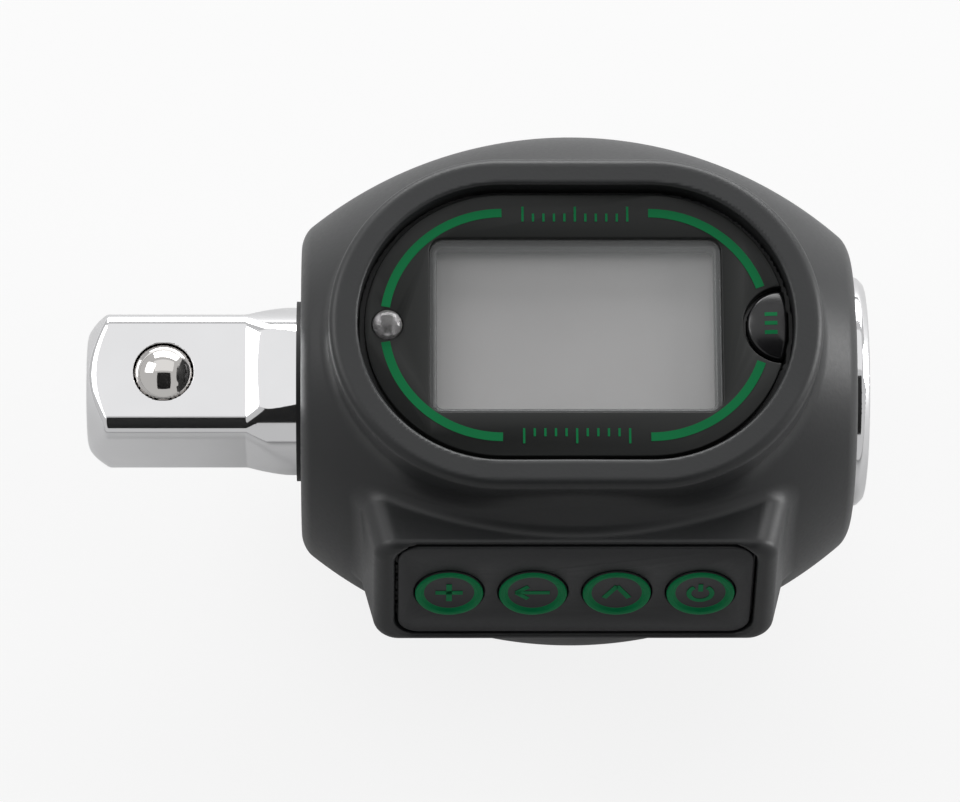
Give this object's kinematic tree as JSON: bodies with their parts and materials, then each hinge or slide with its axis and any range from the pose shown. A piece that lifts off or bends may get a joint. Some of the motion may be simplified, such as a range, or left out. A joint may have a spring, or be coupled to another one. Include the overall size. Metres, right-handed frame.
{
  "type": "digital torque adapter",
  "caption": "Digital torque adapter: square drive shaft through a barrel housing, oval display, front key pad and coin-cell cap, measuring torque between a wrench and a socket",
  "frame": {"origin": "middle of the bottom of the bounding box; the part lies on its round battery boss with its display up", "axes": "+X along the drive shaft towards the female square, +Y towards the display's upper edge, +Z out of the display"},
  "size_m": [0.0758, 0.0508, 0.0451],
  "materials": {
    "chrome": "polished chrome plate",
    "polished_steel": "polished bearing steel",
    "spring_steel": "dark spring steel",
    "housing_plastic": "fine-textured charcoal grey plastic",
    "black_rubber": "black rubber",
    "faceplate_print": "dark grey printed plate with green arcs",
    "window_clear": "clear hard plastic",
    "display_grey": "unlit grey liquid-crystal glass",
    "white_plastic": "white moulded plastic",
    "pink_rubber": "layered conductive rubber",
    "board_green": "glass-fibre board with green solder mask",
    "zinc_steel": "zinc-plated steel",
    "lamp_clear": "clear lamp resin",
    "key_black": "glossy black plastic",
    "keypad_grey": "satin charcoal film",
    "key_grey": "satin charcoal caps with green rings",
    "amber_film": "amber polyimide film",
    "gold_contact": "gold-plated spring bronze",
    "red_wire": "red wire insulation",
    "cell_steel": "nickel-plated steel can",
    "cap_black": "textured black plastic",
    "red_rubber": "red silicone rubber"
  },
  "bodies": {
    "frame": {"drive_shaft": "chrome", "detent_spring": "spring_steel", "main_housing": "housing_plastic", "rear_cover": "housing_plastic", "cover_gasket": "black_rubber", "shaft_seal_left": "black_rubber", "shaft_seal_right": "black_rubber", "retaining_ring_left": "spring_steel", "retaining_ring_right": "spring_steel", "faceplate": "faceplate_print", "lcd_window": "window_clear", "lcd_panel": "display_grey", "lcd_holder": "white_plastic", "connector_strips": "pink_rubber", "main_board": "board_green", "board_screws": "zinc_steel", "led_lamp": "lamp_clear", "mode_switch": "spring_steel", "keypad_panel": "keypad_grey", "keypad_board": "board_green", "key_domes": "spring_steel", "keypad_screws": "zinc_steel", "keypad_ribbon": "amber_film", "strain_gauges": "amber_film", "gauge_ribbon": "amber_film", "battery_board": "board_green", "buzzer": "key_black", "contact_positive": "gold_contact", "contact_negative": "gold_contact", "battery_wires": "red_wire", "cover_screws": "zinc_steel"},
    "detent_ball": {"detent_ball": "polished_steel"},
    "mode_button": {"mode_button": "key_black"},
    "plus_key": {"plus_key": "key_grey"},
    "back_key": {"back_key": "key_grey"},
    "peak_key": {"peak_key": "key_grey"},
    "power_key": {"power_key": "key_grey"},
    "cap_carrier": {"coin_cell": "cell_steel", "cap_seal": "red_rubber"},
    "battery_cap": {"battery_cap": "cap_black"}
  },
  "joints": [
    {"name": "ball_press", "type": "slide", "parent": "frame", "child": "detent_ball", "axis": [0, 0, -1], "range_m": [0, 0.0013], "stiffness_N_per_m": 900, "springref_m": -0.002, "deforming": ["detent_spring"]},
    {"name": "mode_press", "type": "slide", "parent": "frame", "child": "mode_button", "axis": [0, 0, -1], "range_m": [0, 0.0005], "stiffness_N_per_m": 700, "springref_m": -0.0005},
    {"name": "plus_press", "type": "slide", "parent": "frame", "child": "plus_key", "axis": [0, 0.9336, -0.3584], "range_m": [0, 0.0004], "stiffness_N_per_m": 700, "springref_m": -0.0005},
    {"name": "back_press", "type": "slide", "parent": "frame", "child": "back_key", "axis": [0, 0.9336, -0.3584], "range_m": [0, 0.0004], "stiffness_N_per_m": 700, "springref_m": -0.0005},
    {"name": "peak_press", "type": "slide", "parent": "frame", "child": "peak_key", "axis": [0, 0.9336, -0.3584], "range_m": [0, 0.0004], "stiffness_N_per_m": 700, "springref_m": -0.0005},
    {"name": "power_press", "type": "slide", "parent": "frame", "child": "power_key", "axis": [0, 0.9336, -0.3584], "range_m": [0, 0.0004], "stiffness_N_per_m": 700, "springref_m": -0.0005},
    {"name": "cap_lift", "type": "slide", "parent": "frame", "child": "cap_carrier", "axis": [0, 0, -1], "range_m": [0, 0.0018]},
    {"name": "cap_turn", "type": "hinge", "parent": "cap_carrier", "child": "battery_cap", "pos_m": [0.0092, 0.0005, 0.0014], "axis": [0, 0, -1], "range_deg": [0, 720]}
  ],
  "couplings": [
    {"joint": "cap_turn", "follows": "cap_lift", "rad_per_m": 6981.3}
  ]
}
